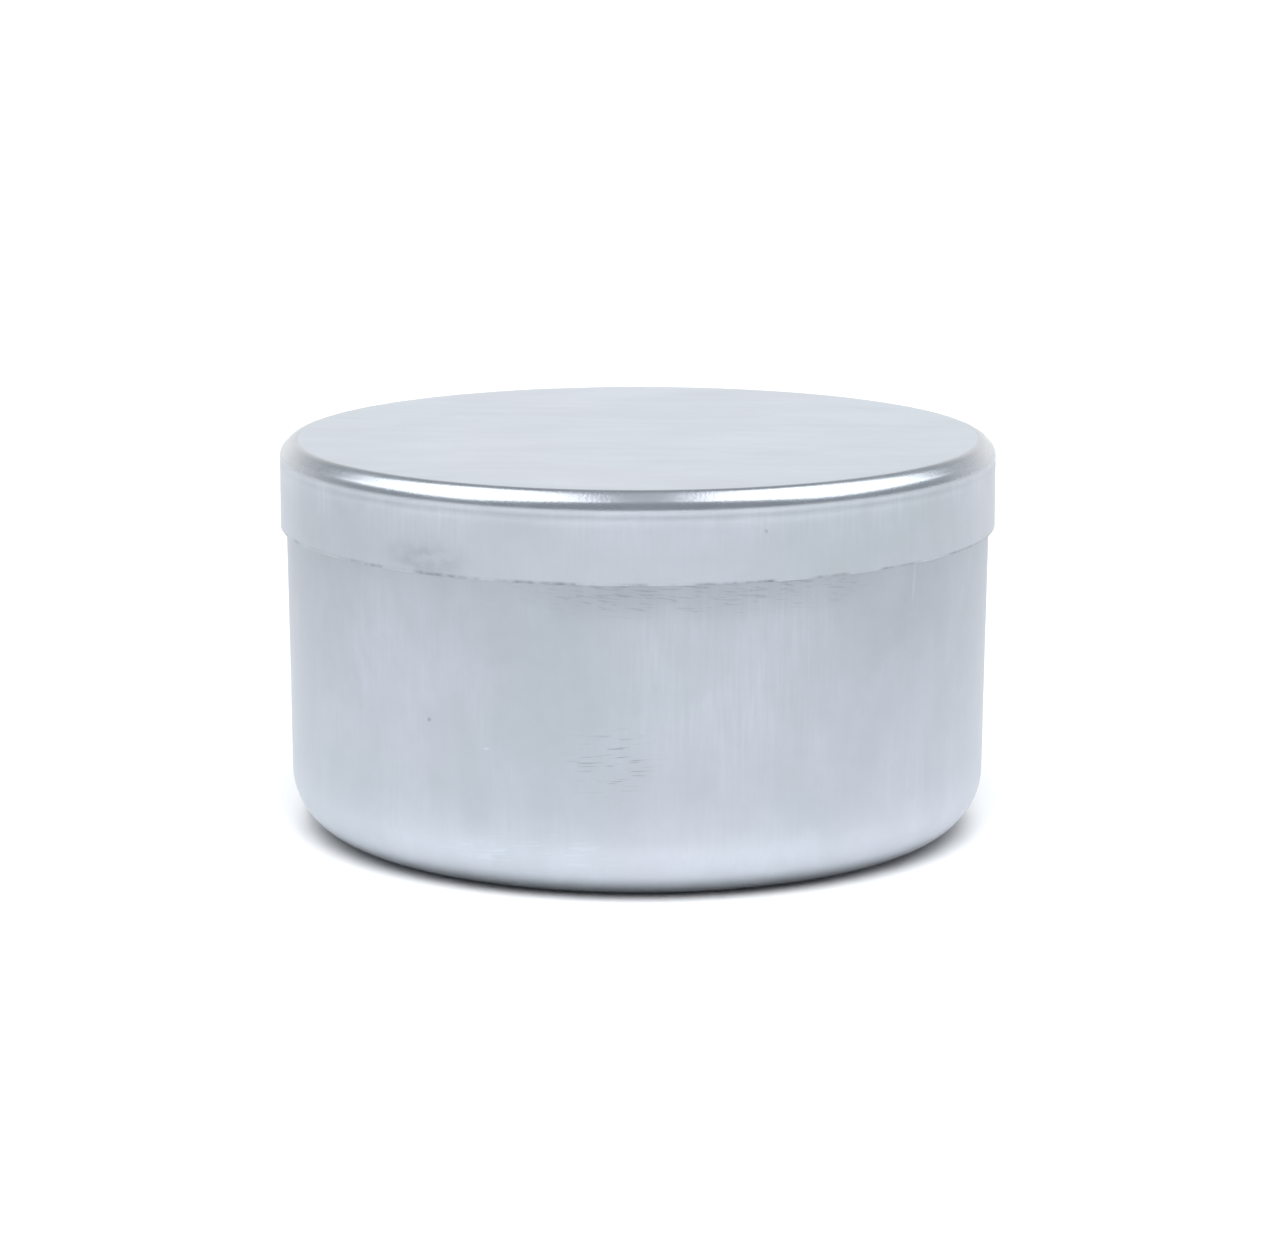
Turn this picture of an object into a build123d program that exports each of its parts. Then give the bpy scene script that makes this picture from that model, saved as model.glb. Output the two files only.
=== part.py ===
"""Seamless aluminium candle tin with a slip-on lid.

The tin is two drawn pieces of thin sheet. The cup has a flat base, a large
rounded heel and a wall that opens slightly towards its trimmed rim. The lid is
a shallow cap: a flat top, a tight corner radius, and a straight skirt that ends
in a trimmed edge. Nothing is seamed, curled or threaded.

Units are millimetres. The origin is the centre of the base's underside, where
the tin stands, and +Z is up through the middle of the lid.
"""

import os
from math import sqrt

from build123d import *

# Driving dimensions of the closed tin
LID_RADIUS = 42.0  # outside of the lid's skirt
TIN_HEIGHT = 46.6  # from the surface it stands on to the top of the lid
SKIRT_EDGE_HEIGHT = 36.3  # the lid's trimmed edge, above that surface
SHEET = 0.45  # aluminium sheet, the same for both pieces
EDGE_ROUND = 0.12  # deburred corners of a trimmed edge

# Cup
CUP_RADIUS_AT_BASE = 40.86  # where the wall's outer line would meet the base's plane
CUP_RADIUS_AT_SKIRT = 41.3  # outside of the wall, level with the lid's trimmed edge
HEEL_RADIUS = 7.4  # outside of the rounded heel
SEAT_DROP = 0.4  # how far the rim stays below where it would touch the lid's inner corner

# Lid
CORNER_RADIUS = 2.1  # outside of the lid's corner


def cup_radius(height):
    """Outside radius of the cup's straight wall at a height above the base."""
    flare = (CUP_RADIUS_AT_SKIRT - CUP_RADIUS_AT_BASE) / SKIRT_EDGE_HEIGHT
    return CUP_RADIUS_AT_BASE + flare * height


def cup_rim_height():
    """Top of the cup, a little below where its rounded rim would meet the lid's inner corner."""
    corner_axis_radius = LID_RADIUS - CORNER_RADIUS
    corner_axis_height = TIN_HEIGHT - CORNER_RADIUS
    reach = CORNER_RADIUS - SHEET - EDGE_ROUND
    across = cup_radius(corner_axis_height) - EDGE_ROUND - corner_axis_radius
    touching_height = corner_axis_height + sqrt(reach**2 - across**2) + EDGE_ROUND
    return touching_height - SEAT_DROP


def drawn_sheet(outer_points, bend_radius):
    """Round sheet-metal piece turned about +Z from its outer line.

    The line runs from the axis, round one bend, to the trimmed edge, with the
    sheet on its inner side.
    """
    trimmed_height = outer_points[-1][1]
    with BuildPart() as piece:
        with BuildSketch(Plane.XZ) as section:
            with BuildLine():
                outer_line = FilletPolyline(*outer_points, radius=bend_radius)
                inward = Side.LEFT if outer_points[0][1] < trimmed_height else Side.RIGHT
                offset(outer_line, SHEET, side=inward)
            make_face()
            trimmed = [
                corner
                for corner in section.sketch_local.vertices()
                if abs(corner.Y - trimmed_height) < EDGE_ROUND and corner.X > SHEET
            ]
            fillet(trimmed, EDGE_ROUND)
        revolve(axis=Axis.Z)
    return piece.part


def tin_body():
    """Drawn cup, with its outer line from the middle of the base up to the rim."""
    rim = cup_rim_height()
    outer_points = [(0, 0), (CUP_RADIUS_AT_BASE, 0), (cup_radius(rim), rim)]
    return drawn_sheet(outer_points, HEEL_RADIUS)


def slip_lid():
    """Drawn lid, with its outer line from the middle of the top down to the skirt's edge."""
    outer_points = [(0, TIN_HEIGHT), (LID_RADIUS, TIN_HEIGHT), (LID_RADIUS, SKIRT_EDGE_HEIGHT)]
    return drawn_sheet(outer_points, CORNER_RADIUS)


os.makedirs("parts", exist_ok=True)
export_step(tin_body(), "parts/tin_body.step")
export_step(slip_lid(), "parts/slip_lid.step")
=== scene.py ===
from math import atan, cos, pi, radians, sin

import bmesh
import bpy
from mathutils import Matrix, Vector, noise


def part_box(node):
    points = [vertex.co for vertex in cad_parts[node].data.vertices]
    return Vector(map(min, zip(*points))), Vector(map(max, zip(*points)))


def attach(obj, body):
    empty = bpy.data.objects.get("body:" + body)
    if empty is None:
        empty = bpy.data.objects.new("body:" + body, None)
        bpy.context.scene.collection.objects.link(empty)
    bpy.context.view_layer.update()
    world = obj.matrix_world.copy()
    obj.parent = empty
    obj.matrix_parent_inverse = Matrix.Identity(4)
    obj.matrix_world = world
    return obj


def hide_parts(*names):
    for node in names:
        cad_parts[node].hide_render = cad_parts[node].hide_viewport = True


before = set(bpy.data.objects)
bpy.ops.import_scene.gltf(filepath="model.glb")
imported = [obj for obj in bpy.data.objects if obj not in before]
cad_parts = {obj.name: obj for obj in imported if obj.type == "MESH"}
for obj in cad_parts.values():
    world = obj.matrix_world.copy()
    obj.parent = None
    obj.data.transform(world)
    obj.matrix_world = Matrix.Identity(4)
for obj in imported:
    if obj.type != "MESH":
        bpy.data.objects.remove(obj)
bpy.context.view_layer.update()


# ---------------------------------------------------------------------------
# The cup
# One disc of 0.45 mm mill-finish aluminium, drawn in a press over a punch with
# a large radius, which makes the flat base, the rounded heel and the wall in
# one piece. The rim is trimmed square and its two corners are deburred.
# ---------------------------------------------------------------------------
MM = 0.001
SHEET = 0.45 * MM
DEBURR = 0.12 * MM
HEEL_RADIUS = 7.4 * MM
WALL_FLARE = 0.0121
COLUMNS = 512
LAST_STEP = 0.25 * MM
DENT_DEPTH = 0.05 * MM
DENT_WIDTH = 17 * MM

cup_low, cup_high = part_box("tin_body")


def straight(bm, start, x, z, steps):
    """Draws a straight stretch of a section, from a vertex to the point x, z."""
    step = (Vector((x, 0, z)) - start.co) / steps
    for _ in range(steps):
        start = bmesh.ops.extrude_vert_indiv(bm, verts=[start])["verts"][0]
        bmesh.ops.translate(bm, verts=[start], vec=step)
    return start


def bend(bm, start, centre_x, centre_z, angle, steps):
    """Draws an arc of a section about a centre. A positive angle turns +Z towards +X."""
    centre = (centre_x, 0, centre_z)
    arc = bmesh.ops.spin(
        bm, geom=[start], cent=centre, axis=(0, 1, 0), angle=angle, steps=steps
    )
    return arc["geom_last"][0]


def raise_sheet(bm, trimmed_height):
    """Spins a drawn section round the tin's axis into sheet with a deburred edge."""
    section = bm.verts[:] + bm.edges[:]
    bmesh.ops.spin(
        bm, geom=section, axis=(0, 0, 1), angle=2 * pi, steps=COLUMNS, use_merge=True
    )
    closest = 0.001 * MM
    bmesh.ops.remove_doubles(bm, verts=bm.verts, dist=closest)
    bmesh.ops.recalc_face_normals(bm, faces=bm.faces)
    bmesh.ops.solidify(bm, geom=bm.faces[:], thickness=SHEET)
    level = 0.05 * MM
    trimmed = {
        face
        for face in bm.faces
        if all(abs(v.co.z - trimmed_height) < level for v in face.verts)
    }
    corners = [edge for edge in bm.edges if sum(f in trimmed for f in edge.link_faces) == 1]
    bmesh.ops.bevel(
        bm,
        geom=corners,
        offset=DEBURR,
        affect="EDGES",
        segments=3,
        profile=0.5,
        material=-1,
    )


def handle(bm, depth, width):
    """Presses the wall in by up to a depth, in soft dents a little taller than they are wide."""
    near_wall = 38 * MM
    for v in bm.verts:
        place = Vector((v.co.x, v.co.y, 0.6 * v.co.z)) / width
        outward = Vector((v.co.x, v.co.y, 0))
        share = min(1.0, (outward.length / near_wall) ** 4)
        v.co -= outward.normalized() * depth * share * (0.5 + 0.5 * noise.noise(place))


def line_inside(bm, height):
    """Gives the sheet's inner side, all that looks at a point on the axis, the second material."""
    bm.normal_update()
    for face in bm.faces:
        inward = Vector((0, 0, height)) - face.calc_center_median()
        face.material_index = 1 if face.normal.dot(inward) > 0 else 0


def finish_piece(bm, name):
    """Turns the finished bmesh into a smooth-shaded object of that name."""
    mesh = bpy.data.meshes.new(name)
    bm.to_mesh(mesh)
    bm.free()
    for polygon in mesh.polygons:
        polygon.use_smooth = True
    piece = bpy.data.objects.new(name, mesh)
    bpy.context.scene.collection.objects.link(piece)
    return piece


def srgb(code):
    """Linear colour of an sRGB hex code."""
    channels = [int(code[i : i + 2], 16) / 255 for i in (0, 2, 4)]
    linear = [c / 12.92 if c <= 0.04045 else ((c + 0.055) / 1.055) ** 2.4 for c in channels]
    return (*linear, 1.0)


def add_node(owner, kind, inputs=None, **settings):
    """Adds a node with its settings. An input takes a value, a socket or a node's first output."""
    node = owner.node_tree.nodes.new("ShaderNode" + kind)
    for name, value in settings.items():
        setattr(node, name, value)
    for socket, value in (inputs or {}).items():
        if isinstance(value, bpy.types.Node):
            value = value.outputs[0]
        if isinstance(value, bpy.types.NodeSocket):
            owner.node_tree.links.new(value, node.inputs[socket])
        else:
            node.inputs[socket].default_value = value
    return node


def marks(metal, size, detail=2.0, turn=(0, 0, 0)):
    """Random marks from 0 to 1 of a size in mm along X, Y and Z, turned by degrees."""
    place = add_node(metal, "TexCoord").outputs["Object"]
    turned = {"Vector": place, "Rotation": [radians(angle) for angle in turn]}
    sized = {"Vector": add_node(metal, "Mapping", turned), "Scale": [1 / (mm * MM) for mm in size]}
    inputs = {"Vector": add_node(metal, "Mapping", sized), "Scale": 1.0, "Detail": detail}
    return add_node(metal, "TexNoise", inputs)


def scratches(metal, size, level, turn=(0, 0, 0)):
    """Thin separate scratches: only what rises above a level, in marks of that size."""
    cut = {"Value": marks(metal, size, 1.0, turn), "From Min": level, "From Max": level + 0.08}
    return add_node(metal, "MapRange", cut, interpolation_type="SMOOTHSTEP")


def height_and_radius(metal):
    """How high each point of a piece is, and how far from the tin's axis."""
    place = add_node(metal, "TexCoord").outputs["Object"]
    level = add_node(metal, "VectorMath", {0: place, 1: (1, 1, 0)}, operation="MULTIPLY")
    radius = add_node(metal, "VectorMath", {0: level}, operation="LENGTH").outputs["Value"]
    return add_node(metal, "SeparateXYZ", {"Vector": place}).outputs["Z"], radius


def patch(metal, radius, azimuth, height, half_width, half_height, tilt=0.0):
    """Soft-edged oval on the wall, 1 in its middle, in mm and in degrees round from the front."""
    angle = radians(azimuth)
    through_sheet = 15 * MM
    oval = {
        "Vector": add_node(metal, "TexCoord").outputs["Object"],
        "Location": (radius * sin(angle), -radius * cos(angle), height * MM),
        "Rotation": (0, radians(tilt), angle),
        "Scale": (half_width * MM, through_sheet, half_height * MM),
    }
    place = add_node(metal, "Mapping", oval, vector_type="TEXTURE")
    distance = add_node(metal, "VectorMath", {0: place}, operation="LENGTH").outputs["Value"]
    edge = {"Value": distance, "From Min": 1.0, "From Max": 0.25}
    return add_node(metal, "MapRange", edge, interpolation_type="SMOOTHSTEP")


def layers(metal, start, *shares):
    """Adds layers of marks to a starting value, each by its share, some only within a patch."""
    total = start
    for pattern, share, *within in shares:
        for mask in within:
            pattern = add_node(metal, "Math", {0: pattern, 1: mask}, operation="MULTIPLY")
        inputs = {0: pattern, 1: share, 2: total}
        total = add_node(metal, "Math", inputs, operation="MULTIPLY_ADD")
    return total


def bare_metal(name):
    """A new material of bare metal, ready for its marks."""
    metal = bpy.data.materials.new(name)
    metal.use_nodes = True
    metal.node_tree.nodes["Principled BSDF"].inputs["Metallic"].default_value = 1.0
    return metal


def finish_metal(metal, cool, warm, drift, tone, wear, relief):
    """Gives the metal its colour, between two tints, its roughness, and its relief in mm."""
    tint = add_node(metal, "ValToRGB", {"Fac": drift})
    for stop, place, code in zip(tint.color_ramp.elements, (0.35, 0.65), (cool, warm)):
        stop.position = place
        stop.color = srgb(code)
    colour = add_node(metal, "VectorMath", {0: tint, "Scale": tone}, operation="SCALE")
    bump = add_node(metal, "Bump", {"Height": relief, "Distance": MM, "Strength": 1.0})
    shader = metal.node_tree.nodes["Principled BSDF"]
    for socket, source in (("Base Color", colour), ("Roughness", wear), ("Normal", bump)):
        metal.node_tree.links.new(source.outputs[0], shader.inputs[socket])


cup_mesh = bmesh.new()
flare = atan(WALL_FLARE)
wall_foot = cup_high.x - WALL_FLARE * cup_high.z
heel_x = wall_foot + WALL_FLARE * HEEL_RADIUS * (1 - sin(flare)) - HEEL_RADIUS * cos(flare)
pen = cup_mesh.verts.new((0, 0, cup_low.z))
pen = straight(cup_mesh, pen, heel_x, cup_low.z, 12)
pen = bend(cup_mesh, pen, heel_x, HEEL_RADIUS, flare - pi / 2, 20)
rim_x = cup_high.x - WALL_FLARE * LAST_STEP
pen = straight(cup_mesh, pen, rim_x, cup_high.z - LAST_STEP, 26)
pen = straight(cup_mesh, pen, cup_high.x, cup_high.z, 1)
raise_sheet(cup_mesh, cup_high.z)
handle(cup_mesh, DENT_DEPTH, DENT_WIDTH)
line_inside(cup_mesh, cup_high.z / 2)
cup = finish_piece(cup_mesh, "drawn_cup")

# Mill-finish aluminium after a deep draw: satin and cloudy, with patches of faint upright
# drawing lines, and the sheet's own grain, handling and the lid's rubbing for the rest.
# On top of these, painted shade darkens the wall towards its top, under the lid's edge and
# at the foot, and painted light brightens the low wall and the heel.
# The real lines and grain are about 0.1 mm wide, and are drawn coarser here so that they show.
wall_metal = bare_metal("mill_aluminium_deep_drawn")
wall = cup_high.x
height, radius = height_and_radius(wall_metal)
# Painted shade: this makes the wall's colour darker step by step from the foot up towards the rim.
painted_shade_rising = {"Value": height, "From Min": 0.0, "From Max": 36 * MM}
painted_shade_rising = add_node(wall_metal, "MapRange", painted_shade_rising)
# Painted shade: a dark ring on the heel's last few millimetres above the table, standing in for
# the contact shadow it reflects.
painted_foot_shade = {"Value": height, "From Min": 3.2 * MM, "From Max": 0.3 * MM}
painted_foot_shade = add_node(wall_metal, "MapRange", painted_foot_shade, interpolation_type="SMOOTHSTEP")
heel = {"Value": radius, "From Min": heel_x - 3 * MM, "From Max": heel_x}
heel = add_node(wall_metal, "MapRange", heel, interpolation_type="SMOOTHSTEP")
# Painted light: the lowest few millimetres of the wall and the heel are made lighter, standing in
# for the bright table they reflect.
painted_low_wall_light = {"Value": height, "From Min": 12 * MM, "From Max": 4 * MM}
painted_low_wall_light = add_node(wall_metal, "MapRange", painted_low_wall_light, interpolation_type="SMOOTHSTEP")
streaky = {"Value": marks(wall_metal, (7.0, 7.0, 11.0), 1.0), "From Min": 0.44, "From Max": 0.62}
streaky = add_node(wall_metal, "MapRange", streaky, interpolation_type="SMOOTHSTEP")
lines = marks(wall_metal, (0.5, 0.5, 6.5))
bands = marks(wall_metal, (2.4, 2.4, 12.0))
clouds = marks(wall_metal, (10.0, 10.0, 8.0), 4.0)
blotches = marks(wall_metal, (2.2, 2.2, 2.0), 3.0)
smears = marks(wall_metal, (1.5, 1.5, 5.0), 3.0, (0, 26, 0))
drift = marks(wall_metal, (24.0, 24.0, 30.0), 1.0)
grain = marks(wall_metal, (0.25, 0.25, 0.25), 1.0)
rings = scratches(wall_metal, (3.2, 3.2, 0.24), 0.60, (0, 3, 0))
fine_rings = scratches(wall_metal, (2.0, 2.0, 0.18), 0.58, (0, -5, 0))
left_side = patch(wall_metal, wall, -44, 28, 16, 20)
right_side = patch(wall_metal, wall, 15, 27, 20, 14)
# Just under the lid's edge at the front: fine rub rings, and a slight painted shade where the
# lid's edge overhangs the wall.
lid_rub_and_shade = patch(wall_metal, wall, 10, 35.5, 30, 4.2)
ring_patch = patch(wall_metal, wall, -4, 16.5, 7, 5.5)
heel_patch = patch(wall_metal, wall - 2 * MM, -17, 5.5, 16, 3.5)
pit = patch(wall_metal, wall, -34.2, 19.7, 0.4, 0.35)
nick = patch(wall_metal, wall, -23.9, 17.1, 0.55, 0.22)
long_scratch = patch(wall_metal, wall, 48.5, 34, 0.3, 3.2, 4)
tone = layers(
    wall_metal, 0.645, (painted_shade_rising, -0.14), (lines, 0.01), (lines, 0.05, streaky), (bands, 0.03),
    (lines, 0.09, right_side), (clouds, 0.10), (blotches, 0.07), (smears, 0.07, left_side),
    (rings, -0.10, ring_patch), (rings, 0.06, heel_patch), (fine_rings, -0.09, lid_rub_and_shade),
    (lid_rub_and_shade, -0.02), (grain, 0.02), (pit, -0.18), (nick, 0.14), (long_scratch, 0.07),
    (painted_low_wall_light, 0.085, heel), (painted_foot_shade, -0.42, heel),
)
wear = layers(
    wall_metal, 0.33, (clouds, 0.12), (blotches, 0.06), (lid_rub_and_shade, 0.06), (rings, 0.10, ring_patch),
)
relief = layers(
    wall_metal, 0.0, (lines, 0.004, streaky), (bands, 0.006), (blotches, 0.006),
    (grain, 0.0012), (rings, -0.008, ring_patch), (rings, -0.006, heel_patch),
    (fine_rings, -0.005, lid_rub_and_shade), (pit, -0.03), (nick, -0.03), (long_scratch, -0.01),
)
finish_metal(wall_metal, "C8CFD7", "CCD1DA", drift, tone, wear, relief)

# The inside of the same sheet, which only the smooth punch has touched: brighter and even,
# with the faintest upright lines. They too are drawn coarser than the real ones, to show.
inside_metal = bare_metal("mill_aluminium_punch_side")
punch_lines = marks(inside_metal, (0.8, 0.8, 14.0))
punch_clouds = marks(inside_metal, (12.0, 12.0, 9.0), 3.0)
drift = marks(inside_metal, (24.0, 24.0, 24.0), 1.0)
tone = layers(inside_metal, 0.93, (punch_clouds, 0.10), (punch_lines, 0.05))
wear = layers(inside_metal, 0.26, (punch_clouds, 0.14))
relief = layers(inside_metal, 0.0, (punch_lines, 0.003), (punch_clouds, 0.01))
finish_metal(inside_metal, "E2E6EB", "E5E8EE", drift, tone, wear, relief)

cup.data.materials.append(wall_metal)
cup.data.materials.append(inside_metal)
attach(cup, "cup")
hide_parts("tin_body")


# ---------------------------------------------------------------------------
# The lid
# A shallow cap drawn from the same sheet. The die burnishes its tight corner
# radius and leaves two faint rings just under it. It is pushed on by hand, so it
# sits a hair lower on one side, and only its fit on the cup's rim holds it.
# ---------------------------------------------------------------------------
CORNER_RADIUS = 2.1 * MM
BEND_RADIUS = 1.75 * MM
RING_DEPTH = 0.03 * MM
RING_DROPS = (0.35 * MM, 0.95 * MM, 1.5 * MM)
BURR_DEPTH = 0.06 * MM
BURR_WIDTH = 1.3 * MM
LID_DENT_DEPTH = 0.04 * MM
LID_DENT_WIDTH = 14 * MM
LID_LEAN = 0.0025
LEAN_DROP = 0.11 * MM

lid_low, lid_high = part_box("slip_lid")


def burr(bm, trimmed_height, depth, width):
    """Leaves a trimmed edge slightly ragged, always short of the height it was cut to."""
    reach = 0.15 * MM
    for v in bm.verts:
        if v.co.z < trimmed_height + reach:
            v.co.z += depth * (0.5 + 0.5 * noise.noise(Vector(v.co) / width))


lid_mesh = bmesh.new()
corner_x = lid_high.x - CORNER_RADIUS
corner_z = lid_high.z - CORNER_RADIUS
pen = lid_mesh.verts.new((0, 0, lid_high.z))
bend_in = CORNER_RADIUS - BEND_RADIUS
pen = straight(lid_mesh, pen, corner_x, lid_high.z, 14)
pen = bend(lid_mesh, pen, corner_x, lid_high.z - BEND_RADIUS, pi / 4, 10)
pen = straight(lid_mesh, pen, pen.co.x + bend_in, pen.co.z - bend_in, 2)
pen = bend(lid_mesh, pen, lid_high.x - BEND_RADIUS, corner_z, pi / 4, 10)
for drop, depth in zip(RING_DROPS, (RING_DEPTH, 0, RING_DEPTH)):
    pen = straight(lid_mesh, pen, lid_high.x - depth, corner_z - drop, 2)
pen = straight(lid_mesh, pen, lid_high.x, lid_low.z + LAST_STEP, 14)
pen = straight(lid_mesh, pen, lid_high.x, lid_low.z, 1)
raise_sheet(lid_mesh, lid_low.z)
burr(lid_mesh, lid_low.z, BURR_DEPTH, BURR_WIDTH)
handle(lid_mesh, LID_DENT_DEPTH, LID_DENT_WIDTH)
line_inside(lid_mesh, lid_low.z + 1 * MM)
lean = Matrix.Rotation(-LID_LEAN, 3, "Y")
middle = (0, 0, (lid_low.z + lid_high.z) / 2)
bmesh.ops.rotate(lid_mesh, verts=lid_mesh.verts, cent=middle, matrix=lean)
bmesh.ops.translate(lid_mesh, verts=lid_mesh.verts, vec=(0, 0, -LEAN_DROP))
lid = finish_piece(lid_mesh, "drawn_lid")

# The same mill-finish sheet, with its rolling grain still on the flat top, upright
# drawing lines on the skirt, and a corner that the die has burnished almost bright. The
# rolling grain and the corner's fine pebbling are drawn coarser than the real ones, to show.
# Painted light makes the flat top lighter, and painted shade darkens the left of the skirt
# and partly lines the lower edge.
lid_metal = bare_metal("mill_aluminium_burnished_corner")
height, radius = height_and_radius(lid_metal)
outside = {"Value": radius, "From Min": corner_x - 0.25 * MM, "From Max": corner_x + 0.35 * MM}
outside = add_node(lid_metal, "MapRange", outside, interpolation_type="SMOOTHSTEP")
above = {"Value": height, "From Min": corner_z - 0.35 * MM, "From Max": corner_z + 0.25 * MM}
above = add_node(lid_metal, "MapRange", above, interpolation_type="SMOOTHSTEP")
corner = add_node(lid_metal, "Math", {0: outside, 1: above}, operation="MULTIPLY")
# inside is the flat top within the corner. Its own share in the tone below is painted light, which
# makes the flat top lighter than the skirt and corner.
inside = add_node(lid_metal, "Math", {0: 1.0, 1: outside}, operation="SUBTRACT")
below = add_node(lid_metal, "Math", {0: 1.0, 1: above}, operation="SUBTRACT")
upper = {"Value": height, "From Min": corner_z - 6 * MM, "From Max": corner_z - 0.5 * MM}
upper = add_node(lid_metal, "MapRange", upper, interpolation_type="SMOOTHSTEP")
# The lid's lower edge: a ragged dark line, partly the rough sheared edge and partly painted shade
# where the edge meets the cup, over a slight lightening of the edge itself.
edge = {"Value": height, "From Min": lid_low.z + 0.4 * MM, "From Max": lid_low.z + 0.05 * MM}
edge = add_node(lid_metal, "MapRange", edge, interpolation_type="SMOOTHSTEP")
streaky = {"Value": marks(lid_metal, (6.0, 6.0, 9.0), 1.0), "From Min": 0.42, "From Max": 0.62}
streaky = add_node(lid_metal, "MapRange", streaky, interpolation_type="SMOOTHSTEP")
lines = marks(lid_metal, (0.45, 0.45, 5.0))
bands = marks(lid_metal, (2.4, 2.4, 12.0))
clouds = marks(lid_metal, (13.0, 10.0, 8.0), 4.0)
spots = marks(lid_metal, (3.2, 2.4, 2.2), 3.0)
rolled = marks(lid_metal, (15.0, 2.4, 15.0), 4.0, (0, 0, 4))
drift = marks(lid_metal, (24.0, 24.0, 24.0), 1.0)
peel = marks(lid_metal, (0.35, 0.35, 0.35), 1.0)
nicks_and_edge_shade = marks(lid_metal, (0.8, 0.8, 1.2), 1.0)
smudge = patch(lid_metal, lid_high.x, -34, 38.0, 7.5, 3.2)
grime = {"Value": marks(lid_metal, (2.4, 2.4, 1.3), 3.0), "From Min": 0.35, "From Max": 0.68}
grime = add_node(lid_metal, "MapRange", grime, interpolation_type="SMOOTHSTEP")
# Painted shade: the left of the skirt is made a little darker.
painted_left_shade = patch(lid_metal, lid_high.x, -57, 39.5, 15, 7)
pit = patch(lid_metal, lid_high.x, 19.5, 42, 0.3, 0.3)
tone = layers(
    lid_metal, 0.56, (lines, 0.03, below), (lines, 0.09, streaky, upper, below),
    (bands, 0.03, below), (clouds, 0.10), (clouds, 0.14, inside), (spots, 0.06),
    (rolled, 0.12, inside), (inside, 0.19), (smudge, -0.02), (grime, -0.09, smudge),
    (painted_left_shade, -0.04), (pit, -0.10), (nicks_and_edge_shade, -0.15, edge), (nicks_and_edge_shade, -0.40, edge, streaky),
    (edge, 0.04),
)
wear = layers(
    lid_metal, 0.33, (clouds, 0.10), (spots, 0.05), (corner, -0.13), (smudge, 0.05),
)
relief = layers(
    lid_metal, 0.0, (lines, 0.004, streaky, below), (bands, 0.006, below), (peel, 0.012, corner),
    (spots, 0.006, below), (rolled, 0.008, inside), (pit, -0.02),
)
finish_metal(lid_metal, "D0D7DE", "D4D8E1", drift, tone, wear, relief)

lid.data.materials.append(lid_metal)
lid.data.materials.append(inside_metal)
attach(lid, "lid")
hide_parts("slip_lid")


# ---------------------------------------------------------------------------
# The table
# A plain round table top, painted matt white, that the tin stands on. It is wide
# enough to fill every view and to be all that the lower wall reflects.
# ---------------------------------------------------------------------------
TABLE_RADIUS = 3.0
table_mesh = bmesh.new()
bmesh.ops.create_circle(table_mesh, cap_ends=True, segments=128, radius=TABLE_RADIUS)
table_top = finish_piece(table_mesh, "table_top")
table_paint = bpy.data.materials.new("matt_white_table")
table_paint.use_nodes = True
shader = table_paint.node_tree.nodes["Principled BSDF"]
shader.inputs["Base Color"].default_value = srgb("F3F3F3")
shader.inputs["Roughness"].default_value = 0.8
table_top.data.materials.append(table_paint)


# ---------------------------------------------------------------------------
# The light
# A pale studio: a white sweep behind the tin, a dimmer room in front of it, two
# softboxes overhead, a broad soft fill from the front, and a small lamp over the
# table in front, which is the part of the table that the tin's front reflects.
# ---------------------------------------------------------------------------
ROOM_COLOUR = "A3A7AC"
SWEEP_COLOUR = "FCFCFA"
SKY_RADIANCE = 1.35
SWEEP_EDGES = (0.25, 0.9)
SWEEP_TOP = (0.52, 0.18)
world = bpy.data.worlds.new("studio")
world.use_nodes = True
bpy.context.scene.world = world
direction = add_node(world, "TexCoord").outputs["Generated"]
facing = add_node(world, "SeparateXYZ", {"Vector": direction})
behind = {"Value": facing.outputs["Y"], "From Min": SWEEP_EDGES[0], "From Max": SWEEP_EDGES[1]}
behind = add_node(world, "MapRange", behind)
low_down = {"Value": facing.outputs["Z"], "From Min": SWEEP_TOP[0], "From Max": SWEEP_TOP[1]}
low_down = add_node(world, "MapRange", low_down, interpolation_type="SMOOTHSTEP")
sweep = add_node(world, "Math", {0: behind, 1: low_down}, operation="MULTIPLY")
sky = add_node(world, "ValToRGB", {"Fac": sweep})
for stop, code in zip(sky.color_ramp.elements, (ROOM_COLOUR, SWEEP_COLOUR)):
    stop.color = srgb(code)
glow = world.node_tree.nodes["Background"]
world.node_tree.links.new(sky.outputs["Color"], glow.inputs["Color"])
glow.inputs["Strength"].default_value = SKY_RADIANCE

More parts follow.
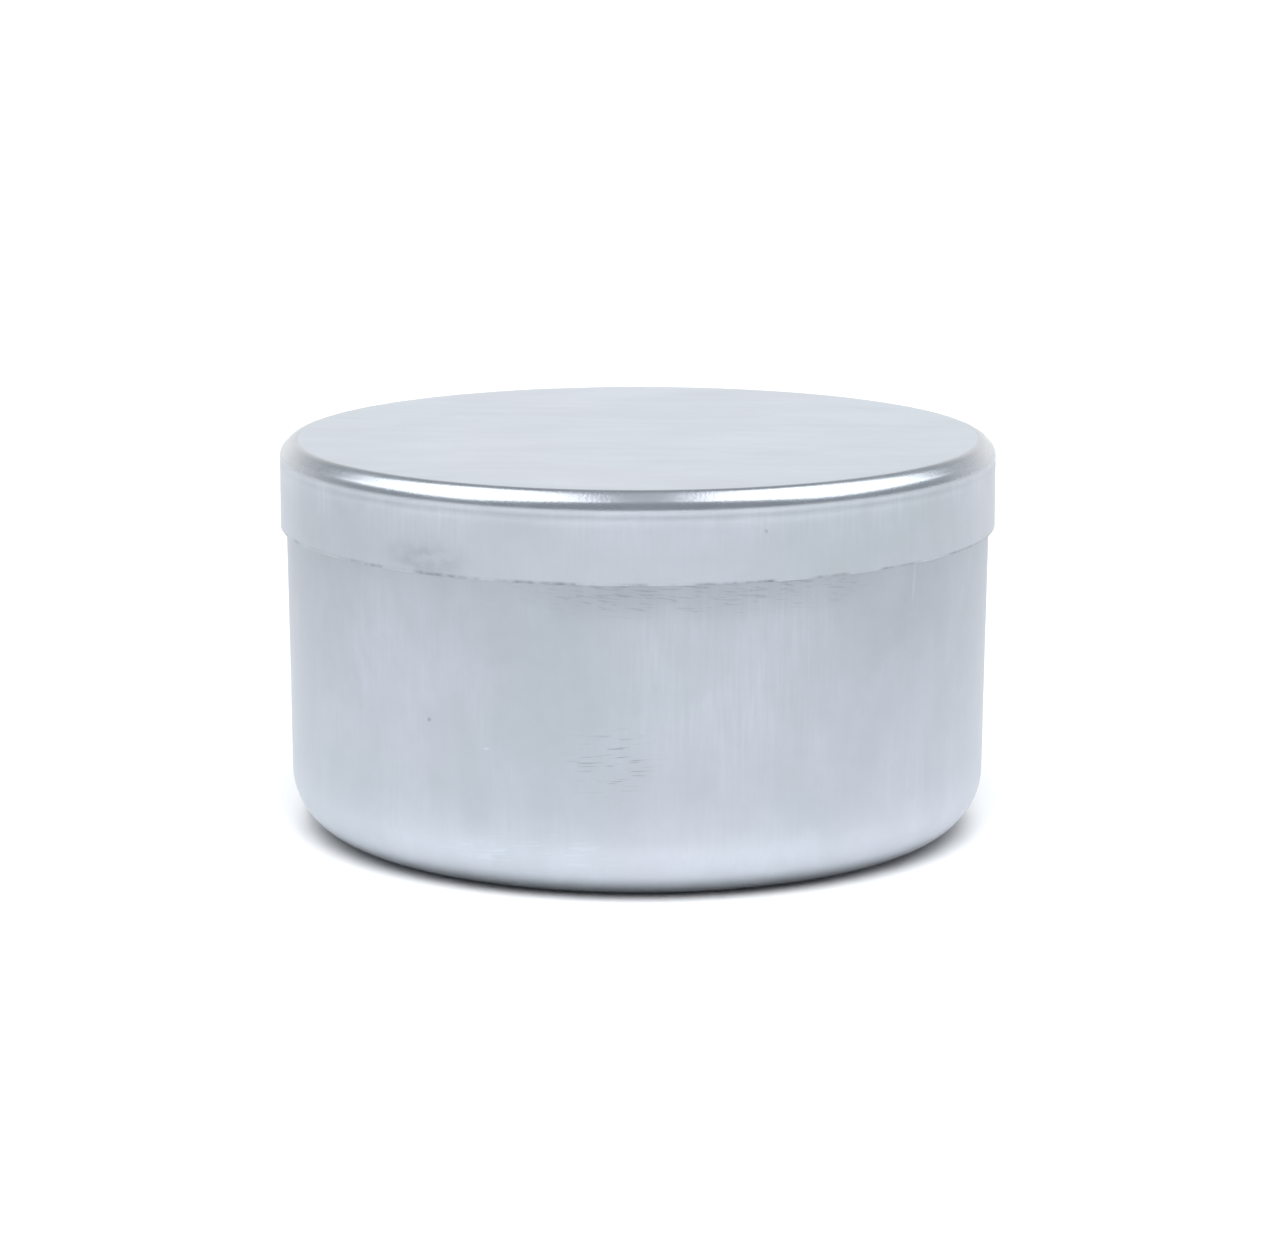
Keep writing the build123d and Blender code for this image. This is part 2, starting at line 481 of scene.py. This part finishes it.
SOFTBOX_SIZE = (3.3, 2.8)
SOFTBOX_RADIANCE = 2.5
SOFTBOXES = {"softbox_left": (-1.71, -0.10, 2.47), "softbox_right": (1.71, 0.10, 2.47)}
for name, stand in SOFTBOXES.items():
    lamp = bpy.data.lights.new(name, "AREA")
    lamp.shape = "RECTANGLE"
    lamp.size, lamp.size_y = SOFTBOX_SIZE
    lamp.energy = SOFTBOX_RADIANCE * pi * lamp.size * lamp.size_y
    softbox = bpy.data.objects.new(name, lamp)
    bpy.context.scene.collection.objects.link(softbox)
    softbox.location = stand
    softbox.rotation_euler = (-softbox.location).to_track_quat("-Z", "Y").to_euler()
    softbox.visible_diffuse = False

FILL_STRENGTH = 2.7
FILL_SPREAD = radians(70)
FILL_TILT = radians(27)
fill_lamp = bpy.data.lights.new("broad_fill", "SUN")
fill_lamp.energy = FILL_STRENGTH
fill_lamp.angle = FILL_SPREAD
fill = bpy.data.objects.new("broad_fill", fill_lamp)
bpy.context.scene.collection.objects.link(fill)
fill.rotation_euler = (FILL_TILT, 0, 0)
fill.visible_glossy = False

TABLE_LAMP_SIZE = 0.3
TABLE_LAMP_WATTS = 1.0
TABLE_LAMP_STAND = (0, -0.30, 0.35)
table_lamp = bpy.data.lights.new("table_fill", "AREA")
table_lamp.size = TABLE_LAMP_SIZE
table_lamp.energy = TABLE_LAMP_WATTS
table_fill = bpy.data.objects.new("table_fill", table_lamp)
bpy.context.scene.collection.objects.link(table_fill)
table_fill.location = TABLE_LAMP_STAND
table_fill.visible_glossy = False
table_fill.visible_camera = False


# ---------------------------------------------------------------------------
# The camera
# It stands half a metre in front of the tin and looks slightly down on it, with a
# long lens on a 36 mm sensor. The small shift and roll only centre and level the tin.
# ---------------------------------------------------------------------------
DISTANCE = 0.504
ELEVATION = radians(11.29)
ROLL = radians(0.11)
AIM_HEIGHT = 23.1 * MM
LENS = 119.16
SENSOR_WIDTH = 36.0
SHIFT_RIGHT = 0.0035
SHIFT_UP = 0.0024
NEAREST = 10 * MM
camera_data = bpy.data.cameras.new("camera")
camera_data.lens = LENS
camera_data.sensor_width = SENSOR_WIDTH
camera_data.shift_x = SHIFT_RIGHT
camera_data.shift_y = SHIFT_UP
camera_data.clip_start = NEAREST
camera = bpy.data.objects.new("camera", camera_data)
bpy.context.scene.collection.objects.link(camera)
back = Vector((0, -cos(ELEVATION), sin(ELEVATION)))
camera.location = Vector((0, 0, AIM_HEIGHT)) + back * DISTANCE
camera.rotation_euler = (-back).to_track_quat("-Z", "Y").to_euler()
camera.rotation_euler.rotate_axis("Z", ROLL)
bpy.context.scene.camera = camera
bpy.context.scene.view_settings.view_transform = "Standard"
